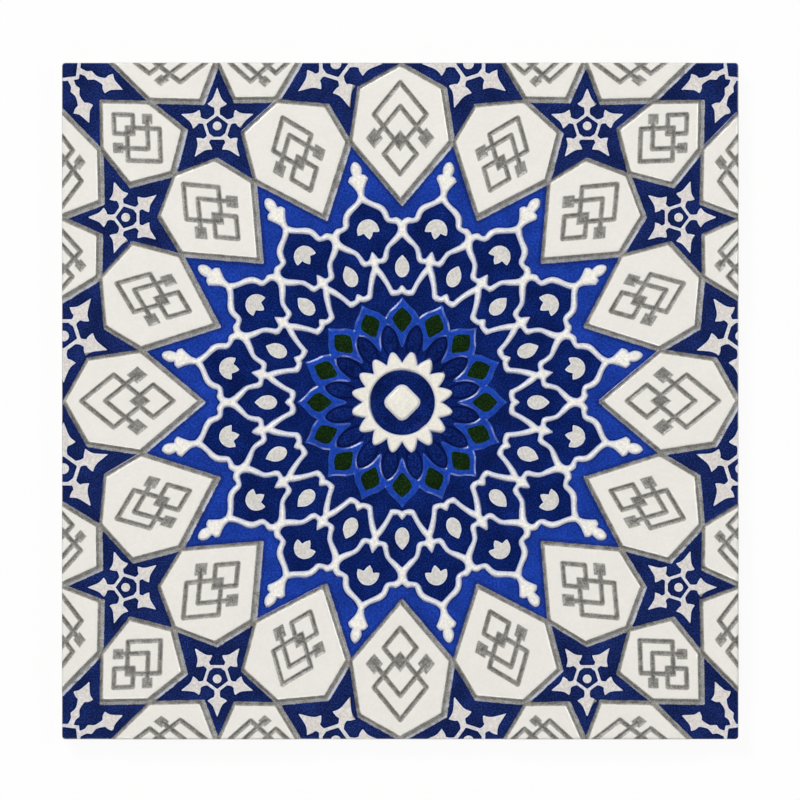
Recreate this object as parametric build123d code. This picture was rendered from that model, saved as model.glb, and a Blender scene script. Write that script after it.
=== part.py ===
"""Relief-moulded ceramic wall tile with a sixteen-fold star rosette.

The tile lies on its back, face up. Z = 0 is the plane that its back ribs rest on, the
middle of the face is on the Z axis, and Y runs up the face as the tile is hung.
It is one pressed and fired piece: a slab, raised star pads with bevelled edges, a
raised lattice of cords, a crown of petals round a sunburst, and a ribbed back.
"""
from build123d import *
import os
from math import cos, radians, sin

# Driving dimensions of the slab, in millimetres
tile_side = 200.0
body_thickness = 7.2
rim_chamfer = 0.8
corner_radius = 1.0

# Rise of each part of the relief above the ground of the face
pad_rise = 1.3
lattice_rise = 0.7
crown_rise = 0.9
petal_rise = 1.1
sunburst_rise = 0.8
boss_rise = 0.9
ring_recess = 0.4

# Widths across the relief
pad_foot_margin = 0.45
pad_bevel_angle = 42.0
groove_width = 1.0
groove_depth = 0.4
petal_shoulder_share = 0.6
petal_foot_draft = 25.0
petal_top_draft = 55.0
boss_chamfer = 0.4

# Keying pattern on the back
pocket_count = 8
pocket_depth = 0.8
rib_width = 4.5
back_border = 6.0
pocket_draft = 30.0

# Radii of the middle of the rosette
recess_inner_radius = 5.0
sunburst_bore_radius = 9.6
boss_half_side = 4.48
boss_corner_radius = 2.4

# The ornament is drawn for a side of 200 and follows the side
ornament_side = 200.0
scale = tile_side / ornament_side
fold_count = 16
fold_angle = 360.0 / fold_count

face_plane = Pos(0, 0, body_thickness)

# Outlines of the pads, in the quarter where x and y are positive
pad_on_axis = [(0, 58.6), (15.25, 76.65), (12.8, 92.8), (0, 100), (-12.8, 92.8), (-15.25, 76.65)]
pad_beside_axis = [(22.4, 54.1), (43.4, 65.0), (47.2, 79.4), (36.6, 89.1), (21.9, 87.8), (15.25, 76.65)]
pad_on_diagonal = [(41.4, 41.4), (65.0, 43.4), (71.9, 54.7), (67.2, 67.2), (54.7, 71.9), (43.4, 65.0)]
pad_at_corner = [(67.2, 67.2), (80.3, 63.8), (88.75, 74.4), (89.0, 89.0), (74.4, 88.75), (63.8, 80.3)]
pad_on_edge_inner = [(30.0, 100), (36.6, 89.1), (49.4, 88.9), (54.4, 100)]
pad_on_edge_outer = [(54.4, 100), (58.75, 88.4), (74.4, 88.75), (85.9, 100)]
overrun = 0.3

# Knot engraved in each pad: the point where its two squares overlap, the two side
# vectors of its small square, and in units of these sides the side of the large
# square, the distance of the loose corner and the length of the loose sides
knot_on_axis = ((0, 76.95), (4.8, 5.9), (-4.8, 5.9), 1.62, 0.86, 1.60)
knot_beside_axis = ((29.7, 70.5), (5.6, 3.35), (-1.85, 6.5), 1.50, 0.82, 1.56)
knot_on_diagonal = ((53.95, 53.95), (6.6, 0.6), (0.6, 6.6), 1.57, 0.81, 1.53)
knot_at_corner = ((79.8, 79.8), (-5.6, -0.2), (-0.2, -5.6), 1.72, 0.92, 1.58)
knot_on_edge_inner = ((39.1, 100), (3.5, 3.15), (3.5, -3.15), 1.77, 1.01, 1.76)
knot_on_edge_outer = ((71.15, 100), (-4.25, 3.25), (-4.25, -3.25), 1.78, 0.88, 1.62)
overlap_share = 0.16
spot_side = 0.47


def between_axes(radius):
    """The point of a half outline that lies on the next axis over, at a radius."""
    half_fold = radians(fold_angle / 2)
    return (radius * sin(half_fold), radius * cos(half_fold))


# Half outlines of the rosette: chains of points given as (across the axis, along the axis)
inner_cell = [
    (0, 48.9), (2.6, 46.3), (4.17, 42.3), (5.2, 41.1), (6.75, 40.7), (6.7, 39.7),
    (2.8, 33.25), (1.54, 33.25), (0, 35.0),
]
outer_cell = [
    (0, 60.2), (4.4, 57.3), (5.4, 54.9), (6.0, 53.3), (8.0, 52.8), (8.85, 51.6),
    (8.17, 48.95), (4.8, 46.5), (2.13, 43.16), (1.31, 43.33), (0, 45.7),
]
finial_edge = [
    (0, 72.8), (1.25, 71.8), (1.7, 70.2), (1.5, 68.6), (3.1, 67.1), (1.4, 64.7),
    (1.1, 62.1), (2.6, 60.6), (5.0, 59.0), (6.6, 57.2), (7.1, 55.2), (7.9, 54.35),
    (9.4, 54.2), between_axes(53.8),
]
arcade_edge = [(0, 32.1), (1.5, 31.6), (3.5, 32.0), (5.2, 35.6), between_axes(38.6)]
crown_outer_edge = [(0, 31.5), (1.3, 29.3), (3.8, 26.9), between_axes(25.5)]
crown_inner_edge = [(0, 16.7), (1.75, 19.8), (3.4, 22.1), between_axes(24.0)]
crown_diamond = [(0, 28.2), (2.9, 24.8), (0, 20.9)]
petal_edge = [(0, 23.1), (1.45, 21.6), (1.95, 19.5), (1.75, 16.9), (1.1, 14.6), (0, 14.4)]
tooth_edge = [(0, 15.1), (0.9, 14.6), (1.75, 13.3), between_axes(11.7)]


def on_axis(across, along, axis):
    """A point given across and along an axis of the rosette, on the face."""
    angle = radians(axis)
    x = along * cos(angle) + across * sin(angle)
    y = along * sin(angle) - across * cos(angle)
    return (x * scale, y * scale)


def polygon(points):
    """The flat face inside a closed chain of lines."""
    return make_face(Polyline(*points, close=True))


def cell(points, axis):
    """The face inside a half outline and its mirror image."""
    left = [on_axis(-across, along, axis) for across, along in points]
    right = [on_axis(across, along, axis) for across, along in reversed(points[1:-1])]
    return polygon(left + right)


def ring(points, first_axis):
    """The face inside an outline round the rosette, one half outline for each half fold."""
    outline = []
    for axis in axes(first_axis):
        outline += [on_axis(across, along, axis) for across, along in reversed(points)]
        outline += [on_axis(-across, along, axis) for across, along in points[1:-1]]
    return polygon(outline)


def axes(first_axis):
    """The sixteen directions that start at one angle."""
    return [first_axis + fold * fold_angle for fold in range(fold_count)]


def scaled(points):
    """Points of the drawn ornament, at the tile's own size."""
    return [(x * scale, y * scale) for x, y in points]


def beyond_edge(points):
    """An outline that the tile's edge cuts, with its two cut sides run on past the edge."""
    first, second, third, last = [Vector(*point) for point in points]
    ends = [first + (first - second) * overrun, second, third, last + (last - third) * overrun]
    return [(end.X, end.Y) for end in ends]


def square_copies(shape, both_sides):
    """Four copies a quarter turn apart, and their mirror images where asked."""
    shapes = [shape]
    if both_sides:
        shapes.append(mirror(shape, about=Plane.YZ))
    return [Rot(0, 0, 90 * quarter) * each for quarter in range(4) for each in shapes]


def pad(points):
    """A raised pad: its outline, widened to its foot, drawn in by its bevel to its top."""
    foot = offset(polygon(scaled(points)), amount=pad_foot_margin, kind=Kind.INTERSECTION)
    return extrude(face_plane * foot, amount=pad_rise, taper=pad_bevel_angle)


def all_pads():
    """The sixteen pads of the ring, the four near the corners and those the edge cuts."""
    pads = square_copies(pad(pad_on_axis), False)
    pads += square_copies(pad(pad_beside_axis), True)
    pads += square_copies(pad(pad_on_diagonal), False)
    pads += square_copies(pad(pad_at_corner), False)
    pads += square_copies(pad(beyond_edge(pad_on_edge_inner)), True)
    pads += square_copies(pad(beyond_edge(pad_on_edge_outer)), True)
    return pads


def knot(centre, side_a, side_b, large, corner, loose):
    """The engraved figure of one pad, as a flat face of strips and filled squares."""
    base = Vector(*centre) * scale
    a = Vector(*side_a) * scale
    b = Vector(*side_b) * scale

    def strip(start, along_a, along_b):
        """A closed square of strips, from one corner and its two signed sides."""
        corners = [start, start + a * along_a, start + a * along_a + b * along_b, start + b * along_b]
        ring = polygon([tuple(corner)[:2] for corner in corners])
        half = groove_width / 2
        outside = offset(ring, amount=half, kind=Kind.INTERSECTION)
        return outside - offset(ring, amount=-half, kind=Kind.INTERSECTION)

    def spot(middle):
        half_a, half_b = a * (spot_side / 2), b * (spot_side / 2)
        corners = [middle - half_a - half_b, middle + half_a - half_b,
                   middle + half_a + half_b, middle - half_a + half_b]
        return polygon([tuple(corner)[:2] for corner in corners])

    small_square = strip(base + (a + b) * overlap_share, -1, -1)
    large_square = strip(base - (a + b) * overlap_share, large, large)
    tip = base + (a + b) * corner
    ends = [tip - a * loose, tip - b * loose]
    loose_line = Polyline(tuple(ends[0])[:2], tuple(tip)[:2], tuple(ends[1])[:2])
    loose_strip = trace(loose_line, line_width=groove_width)
    figure = small_square + large_square + loose_strip + spot(base) + spot(ends[0]) + spot(ends[1])
    top = Pos(0, 0, body_thickness + pad_rise - groove_depth)
    return extrude(top * figure, amount=2 * groove_depth)


def all_knots():
    """The engraved figures of all pads."""
    knots = square_copies(knot(*knot_on_axis), False)
    knots += square_copies(knot(*knot_beside_axis), True)
    knots += square_copies(knot(*knot_on_diagonal), False)
    knots += square_copies(knot(*knot_at_corner), False)
    knots += square_copies(knot(*knot_on_edge_inner), True)
    knots += square_copies(knot(*knot_on_edge_outer), True)
    return knots


def lattice():
    """The raised cords: the rosette within its finials, with its cells left low."""
    low = [cell(inner_cell, axis) for axis in axes(0)]
    low += [cell(outer_cell, axis) for axis in axes(fold_angle / 2)]
    net = ring(finial_edge, fold_angle / 2) - low - ring(arcade_edge, 0)
    return extrude(face_plane * net, amount=lattice_rise)


def crown():
    """The ring of sixteen pointed ridges, each round a low diamond."""
    low = [cell(crown_diamond, axis) for axis in axes(0)]
    low.append(ring(crown_inner_edge, 0))
    ridge = ring(crown_outer_edge, 0) - low
    return extrude(face_plane * ridge, amount=crown_rise)


def petals():
    """Sixteen convex petals, each steep at its foot and flatter towards its top."""
    foot = face_plane * cell(petal_edge, fold_angle / 2)
    lower_rise = petal_rise * petal_shoulder_share
    lower = extrude(foot, amount=lower_rise, taper=petal_foot_draft)
    shoulder = lower.faces().sort_by(Axis.Z)[-1]
    upper_rise = petal_rise - lower_rise
    first = lower + extrude(shoulder, amount=upper_rise, taper=petal_top_draft)
    return [Rot(0, 0, fold_angle * fold) * first for fold in range(fold_count)]


def sunburst():
    """The toothed ring round the middle."""
    teeth = ring(tooth_edge, fold_angle / 2) - Circle(sunburst_bore_radius * scale)
    return extrude(face_plane * teeth, amount=sunburst_rise)


def ring_groove():
    """The sunk ring between the sunburst and the middle boss."""
    sunk = Circle(sunburst_bore_radius * scale) - Circle(recess_inner_radius * scale)
    return extrude(Pos(0, 0, body_thickness - ring_recess) * sunk, amount=2 * ring_recess)


def boss():
    """The rounded diamond in the middle."""
    side = 2 * boss_half_side * scale
    outline = Rot(0, 0, 45) * RectangleRounded(side, side, boss_corner_radius * scale)
    block = extrude(face_plane * outline, amount=boss_rise)
    return chamfer(block.faces().sort_by(Axis.Z)[-1].edges(), boss_chamfer)


def slab():
    """The body, with the shallow pockets of its back between crossing ribs."""
    body = extrude(Rectangle(tile_side, tile_side), amount=body_thickness)
    pitch = (tile_side - 2 * back_border + rib_width) / pocket_count
    pocket = extrude(Rectangle(pitch - rib_width, pitch - rib_width),
                     amount=pocket_depth, taper=pocket_draft)
    spots = GridLocations(pitch, pitch, pocket_count, pocket_count)
    return body - [place * pocket for place in spots]


def envelope():
    """The outer form of the tile: rounded at its corners and along its face."""
    height = body_thickness + pad_rise
    block = extrude(RectangleRounded(tile_side, tile_side, corner_radius), amount=height)
    return chamfer(block.faces().sort_by(Axis.Z)[-1].edges(), rim_chamfer)


def tile():
    """The whole tile, one solid."""
    raised = all_pads() + [lattice(), crown(), sunburst(), boss()] + petals()
    body = slab() + raised
    body = body - (all_knots() + [ring_groove()])
    return body & envelope()


os.makedirs("parts", exist_ok=True)
solids = tile().solids()
if len(solids) != 1:
    raise ValueError(f"the tile came out as {len(solids)} solids instead of one")
export_step(solids[0], "parts/tile.step")
print("volume", round(solids[0].volume), "mm3")
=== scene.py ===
"""A relief-moulded wall tile with a star rosette, glazed by hand, as one fired piece.

The face is a height field. Every line of the ornament is an outline in millimetres, and
the signed distance of each point of the face from these outlines (negative inside) gives
both the height of the clay and, kept as attributes of the mesh, where each glaze lies.
"""

import bpy
import numpy as np
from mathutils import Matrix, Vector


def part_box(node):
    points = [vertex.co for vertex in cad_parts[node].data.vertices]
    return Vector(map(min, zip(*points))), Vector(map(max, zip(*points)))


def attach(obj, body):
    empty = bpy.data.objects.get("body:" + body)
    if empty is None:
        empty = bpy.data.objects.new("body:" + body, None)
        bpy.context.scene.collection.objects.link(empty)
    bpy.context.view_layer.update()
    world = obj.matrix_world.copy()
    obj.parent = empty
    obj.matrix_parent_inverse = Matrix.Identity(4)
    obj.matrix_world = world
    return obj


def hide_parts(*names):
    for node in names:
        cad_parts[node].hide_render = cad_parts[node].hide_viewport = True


bl_info = {
    "name": "Star tile",
    "version": (1, 0, 0),
    "blender": (4, 5, 0),
    "location": "3D View > Sidebar > Star tile",
    "description": "Makes the glazed face, the clay body and the stage of a moulded wall tile",
    "category": "Object",
}

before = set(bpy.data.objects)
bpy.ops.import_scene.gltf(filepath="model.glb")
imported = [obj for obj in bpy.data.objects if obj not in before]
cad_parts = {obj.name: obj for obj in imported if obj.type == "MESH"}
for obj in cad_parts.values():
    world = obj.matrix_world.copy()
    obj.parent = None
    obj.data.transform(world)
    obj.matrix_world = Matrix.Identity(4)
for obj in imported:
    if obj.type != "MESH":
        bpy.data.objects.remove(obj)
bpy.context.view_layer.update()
tile_low, tile_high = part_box("tile")

MM = 0.001
NODE = "tile"
BODY = "root"

# Outlines of the pads in one eighth of the face, in millimetres from its middle
PADS = [
    [(-12.8, 92.8), (-15.25, 76.65), (0, 58.6), (15.25, 76.65), (12.8, 92.8), (0, 100)],
    [(22.4, 54.1), (43.4, 65.0), (47.2, 79.4), (36.6, 89.1), (21.9, 87.8), (15.25, 76.65)],
    [(41.4, 41.4), (65.0, 43.4), (71.9, 54.7), (67.2, 67.2), (54.7, 71.9), (43.4, 65.0)],
    [(67.2, 67.2), (80.3, 63.8), (88.75, 74.4), (89.0, 89.0), (74.4, 88.75), (63.8, 80.3)],
    [(36.6, 89.1), (49.4, 88.9), (59.4, 111.1), (23.4, 110.9)],
    [(58.75, 88.4), (74.4, 88.75), (97.4, 111.25), (50.05, 111.6)],
]

# Knot engraved in each pad: where its two squares overlap, the two sides of the small
# square, the side of the large one, and the place and length of the loose corner
KNOTS = [
    ((0, 76.95), (4.8, 5.9), (-4.8, 5.9), 1.62, 0.86, 1.60),
    ((29.7, 70.5), (5.6, 3.35), (-1.85, 6.5), 1.50, 0.82, 1.56),
    ((53.95, 53.95), (6.6, 0.6), (0.6, 6.6), 1.57, 0.81, 1.53),
    ((79.8, 79.8), (-5.6, -0.2), (-0.2, -5.6), 1.72, 0.92, 1.58),
    ((39.1, 100), (3.5, 3.15), (3.5, -3.15), 1.77, 1.01, 1.76),
    ((71.15, 100), (-4.25, 3.25), (-4.25, -3.25), 1.78, 0.88, 1.62),
]
OVERLAP_SHARE = 0.16
SPOT_SHARE = 0.47

# The ring of pads from inside: royal blue lies within this line, navy outside it
PAD_RING = [(0, 80), (15.25, 76.65), (29.5, 71), (43.4, 65.0), (58, 58), (0, 0)]

# Half outlines of the rosette as (across its axis, along it); smooth runs meet at corners
INNER_CELL = [
    [(0, 48.8), (1.75, 47.1), (3.4, 45.7), (4.0, 44.1), (4.17, 42.4)],
    [(4.17, 42.4), (4.9, 41.3), (6.8, 40.85)],
    [(6.8, 40.85), (6.9, 40.1), (5.6, 38.5), (4.0, 35.9), (2.65, 33.4)],
    [(2.65, 33.4), (1.5, 33.25), (0.75, 34.1), (0, 34.8)],
]
OUTER_CELL = [
    [(0, 60.15), (1.6, 58.95), (3.3, 57.75), (4.6, 56.55), (5.1, 55.3), (5.25, 54.3)],
    [(5.25, 54.3), (5.9, 53.2), (7.2, 52.6), (8.4, 52.15), (8.8, 51.1), (8.5, 50.0), (7.7, 49.0)],
    [(7.7, 49.0), (5.7, 47.45), (4.15, 46.1), (3.4, 44.8), (2.7, 43.3)],
    [(2.7, 43.3), (2.15, 42.9), (1.4, 43.15)],
    [(1.4, 43.15), (0.75, 44.4), (0, 45.6)],
]
FINIAL = [
    [(0, 72.6), (0.95, 72.0), (1.6, 70.7), (1.65, 69.6), (1.4, 68.5)],
    [(1.4, 68.5), (2.4, 68.15), (3.1, 66.95)],
    [(3.1, 66.95), (1.9, 65.1), (1.15, 63.6), (0.95, 62.2)],
    [(0.95, 62.2), (2.0, 60.85), (3.4, 59.8), (5.0, 58.85), (6.2, 57.6), (6.8, 56.1), (7.05, 54.4)],
    [(7.05, 54.4), (7.7, 54.1), (9.0, 54.15), (9.9, 53.5), (10.5, 52.77)],
]
ARCADE = [
    [
        (0, 32.15), (0.9, 31.75), (2.3, 31.5), (3.45, 31.75), (4.05, 32.7), (4.8, 34.2),
        (5.7, 35.6), (6.6, 36.8), (7.53, 37.86),
    ],
]
CROWN_OUTER = [[(0, 31.2), (0.65, 30.2), (2.15, 28.55), (3.6, 27.3), (4.4, 26.1), (4.99, 25.1)]]
CROWN_INNER = [
    [
        (0, 16.2), (0.5, 17.1), (0.95, 18.5), (1.45, 19.8), (2.1, 20.95), (2.95, 21.95),
        (3.8, 22.55), (4.56, 22.9),
    ],
]
DIAMOND = [
    [(0, 28.25), (0.8, 27.5), (1.7, 26.75), (2.5, 25.7), (2.95, 24.7)],
    [(2.95, 24.7), (2.4, 23.5), (1.5, 22.3), (0.8, 21.4), (0, 20.7)],
]
PETAL = [
    [
        (0, 23.1), (0.95, 22.35), (1.7, 21.2), (2.1, 19.8), (2.2, 18.0), (1.9, 16.0),
        (1.2, 14.4), (0, 13.2),
    ],
]
TOOTH = [[(0, 15.15), (0.65, 14.85), (1.2, 14.15), (1.65, 13.3), (2.0, 12.5), (2.3, 11.57)]]
ALMOND = [
    [
        (0, 43.7), (0.85, 42.8), (1.73, 41.6), (2.1, 40.2), (2.05, 39.0), (1.65, 38.05),
        (0.95, 37.25), (0, 36.95),
    ],
]
TULIP = [
    [(0, 55.15), (1.4, 54.8), (2.6, 53.75), (3.2, 52.4), (3.32, 50.8)],
    [(3.32, 50.8), (2.4, 50.85), (1.4, 51.15)],
    [(1.4, 51.15), (0.85, 50.0), (0, 49.0)],
]

# Flat figures between the pads: half outline of one arm, from the figure's middle
ARROW = [
    [(0, 3.2), (0.95, 3.2)],
    [(0.95, 3.2), (0.78, 4.5), (1.0, 5.5)],
    [(1.0, 5.5), (1.75, 5.7), (3.0, 6.5)],
    [(3.0, 6.5), (1.85, 7.4), (1.2, 8.3)],
    [(1.2, 8.3), (0.6, 9.8), (0, 11.4)],
]
CORNER_ARM = [
    [(0, 4.6), (0.9, 4.6)],
    [(0.9, 4.6), (0.8, 6.0), (0.8, 7.1), (1.5, 8.3)],
    [(1.5, 8.3), (1.0, 9.3), (0.65, 10.2), (0.75, 11.5), (1.1, 12.9)],
    [(1.1, 12.9), (2.2, 13.4), (3.2, 14.5)],
    [(3.2, 14.5), (1.8, 15.5), (0.95, 17.0), (0, 19.1)],
]
CORNER_RING = [
    (4.45, 4.45), (0, 5.0), (-4.45, 4.45), (-5.0, 0),
    (-4.45, -4.45), (0, -5.0), (4.45, -4.45), (5.0, 0),
]
CORNER_RING_HALF_WIDTH = 0.5
CORNER_ARM_AXIS = 23.3
CORNER_MIDDLE = (100.0, 100.0)

# Stars of five arrows round a pentagon ring and a dot, and where the two kinds lie
ARROWS = 5
PENTAGON_SET_BACK = 0.45
PENTAGON_APOTHEM = 3.2
PENTAGON_HALF_WIDTH = 0.44
DOT_RADIUS = 1.32
STAR_MIDDLE = (54.7, 81.75)
STAR_AXIS = 90.0
EDGE_STAR_MIDDLE = (19.6, 100.1)
EDGE_STAR_AXIS = 180.0
EDGE_STAR_SCALE = 1.22

# The rosette has this many like sectors, and its odd axes lie half a sector off the even
SECTORS = 16
HALF_SECTOR = 180 / SECTORS

# Middle of the rosette: the sunk ring's radius, and half the straight part and the corner
# radius of the boss in it
RING_RADIUS = 9.6
BOSS_STRAIGHT = 2.08
BOSS_CORNER = 2.4

# Lines between which the side of a shape rises, in millimetres from its outline and
# negative inside it
GROOVE_SIDE = (0.15, -0.4)
SPOT_SIDE = (0.2, -0.5)
FIGURE_SIDE = (0.0, -0.3)
CROWN_SIDE = (0.05, -0.6)
DIAMOND_SIDE = (0.55, -0.1)
DIAMOND_DOME_SIDE = (0.0, -1.6)
PETAL_SIDE = (0.05, -1.9)
SUNBURST_SIDE = (-0.02, -0.6)
RING_SIDE = (0.0, -2.4)
CORD_SIDE = (-0.02, -0.5)
BOSS_SIDE = (-0.02, -0.8)

# Share of a shape's height that its side gains, and the lines of the gentle rest
PAD_CREST = (0.82, -0.55, -1.45)
CORD_CREST = (0.8, -0.1, -0.9)
BOSS_CREST = (0.75, 0.0, -3.5)

# A filled square is a little shallower than the lines, and a flat figure stands up by the
# thickness of its glaze
SPOT_DEPTH_SHARE = 0.8
FIGURE_RISE = 0.06

# Rounding of the face's own edge, outside its bevel
EDGE_ROUND_WIDTH = 0.45
EDGE_ROUND_DROP = 0.25

# Wall under the face as (how far in, how high) down to the plane it stands on
WALL = [(0.0, 6.4), (0.0, 0.8), (0.06, 0.42), (0.2, 0.13), (0.42, 0.0)]
FOOT_INSET = WALL[-1][0]

# Walls of the back's pockets: how far they lean, and, as shares of the width that this
# gives them, the lines between which they rise and the lines of the grid along them
POCKET_WALL_LEAN = 30.0
POCKET_WALL_SIDE = (0.15, -1.15)
POCKET_WALL_LINES = (-0.15, 0.0, 0.25, 0.5, 0.75, 1.0, 1.35)

# Grid of the face: where its even lines stop and its last lines lie, in from the edge
RIM_START = 0.8
RIM_LINES = (0.5, 0.28, 0.12, 0.0)

# Straight steps in each stretch of a curve, how far from its middle a knot and the rosette
# are looked for, and the distance that stands for anything further
CURVE_STEPS = 4
KNOT_REACH = 20.0
ROSETTE_REACH = 75.0
NOWHERE_NEAR = 1e3

# Stage: lamps as place in metres and power in watts, and the frame that the camera sees
LAMP_SIZE = 0.6
LAMPS = {
    "key light": ((-0.85, 1.2, 1.63), 32.0),
    "fill light": ((1.35, 0.2, 1.5), 12.4),
    "low light": ((-0.2, -1.4, 1.55), 11.4),
}
SKY_DARK, SKY_BRIGHT = 0.02, 0.3
FLOOR_HALF_WIDTH = 2.5
FLOOR_DROP = 0.2 * MM
FLOOR_GLOW = 0.93
FRAME_PIXELS = 800
PIXEL_SIZE = 0.29542 * MM
CAMERA_DISTANCE = 1.6
CAMERA_OFFSET = (-0.07 * MM, 0.30 * MM)
SENSOR_WIDTH = 36.0


def paint(red, green, blue):
    """A colour of 0 to 255 as the linear values of 0 to 1 that Blender mixes."""
    value = np.array([red, green, blue]) / 255
    low = value / 12.92
    high = ((value + 0.055) / 1.055) ** 2.4
    return tuple(float(part) for part in np.where(value <= 0.04045, low, high))


def length(name, description, default):
    """A length property, given in metres."""
    return bpy.props.FloatProperty(
        name=name, description=description, default=default, unit="LENGTH", precision=5
    )


def colour(name, description, default):
    """A colour property."""
    return bpy.props.FloatVectorProperty(
        name=name, description=description, default=default, subtype="COLOR",
        size=3, min=0.0, max=1.0,
    )


class StarTileSizes(bpy.types.PropertyGroup):
    """Sizes of the tile's relief and back."""

    side: length("Side", "Length of each side of the tile", tile_high.x - tile_low.x)
    height: length("Height", "Height from the back to the top of the pads", tile_high.z)
    rim_chamfer: length("Rim chamfer", "Width and drop of the bevel along the edge", 0.5 * MM)
    corner_radius: length("Corner radius", "Rounding of the four corners", 1.0 * MM)
    pad_rise: length("Pad rise", "Height of the pads above the ground", 1.3 * MM)
    pad_foot: length("Pad foot", "How far a pad's foot lies outside its outline", 0.05 * MM)
    pad_shoulder: length("Pad shoulder", "How far its flat top lies inside it", 0.85 * MM)
    cord_rise: length("Cord rise", "Height of the cords of the rosette", 0.7 * MM)
    crown_rise: length("Crown rise", "Height of the light blue ridges", 0.27 * MM)
    diamond_rise: length("Diamond rise", "Height of the green diamonds' edges", 0.243 * MM)
    diamond_dome: length("Diamond dome", "How much higher their middles are", 0.108 * MM)
    petal_rise: length("Petal rise", "Height of the petals at their ridge", 0.264 * MM)
    sunburst_rise: length("Sunburst rise", "Height of the toothed ring", 0.8 * MM)
    boss_rise: length("Boss rise", "Height of the rounded diamond in the middle", 0.9 * MM)
    ring_recess: length("Ring recess", "Depth of the ring round the boss", 0.4 * MM)
    groove_width: length("Groove width", "Width of the lines of the knots", 1.0 * MM)
    groove_depth: length("Groove depth", "Depth of the lines of the knots", 0.35 * MM)
    pocket_depth: length("Pocket depth", "Depth of the pockets of the back", 0.8 * MM)
    rib_width: length("Rib width", "Width of the ribs between the pockets", 4.5 * MM)
    back_border: length("Back border", "Flat margin round the pockets", 6.0 * MM)
    pocket_count: bpy.props.IntProperty(
        name="Pockets", description="Pockets along each side of the back", default=8, min=1
    )
    cells: bpy.props.IntProperty(
        name="Cells", description="Mesh cells along the side of a quarter face", default=312,
        min=40, max=315,
    )
    print_shift: bpy.props.FloatVectorProperty(
        name="Print shift", description="How far the blue glaze was laid off the relief",
        default=(0.57 * MM, -0.40 * MM), size=2, unit="LENGTH", precision=5,
    )
    # Stain shift: how far a painted shade of the grooves lies off them, towards their upper side.
    groove_shade_shift: bpy.props.FloatVectorProperty(
        name="Stain shift", description="How far the dark of the stain lies off the grooves",
        default=(0.03 * MM, 0.2 * MM), size=2, unit="LENGTH", precision=5,
    )


class StarTileColours(bpy.types.PropertyGroup):
    """Colours of the glazes and the clay."""

    white: colour("White", "Glaze of the pads", paint(240, 237, 230))
    cool_white: colour("Cool white", "Glaze of the cords and of bare strips", paint(214, 218, 233))
    bluish: colour("Bluish white", "White glaze that blue has run into", paint(128, 142, 208))
    cream: colour("Cream", "Glaze along the middle of the cords", paint(243, 240, 231))
    ivory: colour("Ivory", "Glaze of the sunburst and the boss", paint(240, 236, 225))
    figure: colour("Figure", "Thin glaze of the figures between pads", paint(223, 217, 212))
    cell_print: colour("Cell print", "Thin glaze of tulips and almonds", paint(215, 212, 206))
    navy: colour("Navy", "Glaze of the cells, the petals and the ring", paint(11, 31, 92))
    # Star navy also darkens the royal blue next to the pads, as painted shade.
    star_navy: colour("Star navy", "Thinner navy of the stars between the pads", paint(22, 37, 89))
    royal: colour("Royal blue", "Glaze round the rosette", paint(27, 59, 155))
    # Pooled blue is partly glaze pooled at a raised edge and partly painted shade: a dark line in
    # the blue round the raised white shapes and round each petal.
    pooled_and_shade: colour("Pooled blue", "Blue that has run against a raised edge", paint(4, 11, 58))
    crown: colour("Crown blue", "Glaze of the crown", paint(14, 62, 168))
    # Crown edge is a painted sheen: the crown blue is lighter along its edges.
    crown_edge_sheen: colour("Crown edge", "The same where it thins", paint(30, 78, 174))
    green: colour("Green", "Glaze of the diamonds in the crown", paint(19, 40, 14))
    stain: colour("Stain", "Grey rubbed into lines and edges", paint(120, 118, 111))
    # Dark stain stands for stain gathered in the knots and also for painted shade, on the upper
    # side of each groove and where the blue laps onto a pad.
    stain_gathered_and_shade: colour("Dark stain", "Grey where it has gathered", paint(74, 72, 68))
    # The rim colour is thin glaze and painted shade of the rounded edge: a grey line along the
    # tile's edge.
    rim: colour("Rim", "Thin glaze along the tile's edge", paint(150, 151, 156))
    clay: colour("Clay", "Bare fired clay of the sides and back", paint(208, 190, 164))


def smooth_run(points):
    """Points along a curve through the given ones.

    Each stretch is the cubic whose ends lean along the line between their neighbours;
    a run of two points stays a straight line.
    """
    run = np.array(points, float)
    if len(run) == 2:
        return run
    before = np.vstack([2 * run[0] - run[1], run[:-1]])[:-1]
    start, end = run[:-1], run[1:]
    after = np.vstack([run[2:], 2 * run[-1] - run[-2]])
    t = (np.arange(CURVE_STEPS) / CURVE_STEPS)[None, :, None]
    before, start, end, after = (each[:, None, :] for each in (before, start, end, after))
    curve = 0.5 * (
        2 * start + (end - before) * t + (2 * before - 5 * start + 4 * end - after) * t**2
        + (3 * start - before - 3 * end + after) * t**3
    )
    return np.vstack([curve.reshape(-1, 2), run[-1:]])


def half_outline(runs):
    """One open chain of points from smooth runs that share their end points."""
    chains = [smooth_run(points) for points in runs]
    return np.vstack([chain[:-1] for chain in chains[:-1]] + [chains[-1]])


def segment_distance(x, y, start, end):
    """Distance of each point from its nearest point on the segment between two points."""
    dx, dy = end[0] - start[0], end[1] - start[1]
    share = np.clip(((x - start[0]) * dx + (y - start[1]) * dy) / (dx * dx + dy * dy), 0, 1)
    return np.hypot(x - start[0] - share * dx, y - start[1] - share * dy)


def outline_distance(x, y, outline, closed=True):
    """Signed distance of each point from an outline, negative inside.

    The size is the least distance from any of its segments. The sign comes from how many
    segments a ray to the right crosses. The last side of an outline that isn't closed
    counts for the sign only, because it lies on an axis of symmetry.
    """
    points = [tuple(point) for point in outline]
    best = np.full(x.shape, NOWHERE_NEAR)
    inside = np.zeros(x.shape, bool)
    for index, start in enumerate(points):
        end = points[(index + 1) % len(points)]
        if closed or index < len(points) - 1:
            best = np.minimum(best, segment_distance(x, y, start, end))
        if start[1] != end[1]:
            between = (y < start[1]) != (y < end[1])
            reach = start[0] + (y - start[1]) * (end[0] - start[0]) / (end[1] - start[1])
            inside ^= between & (x < reach)
    return np.where(inside, -best, best)


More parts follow.
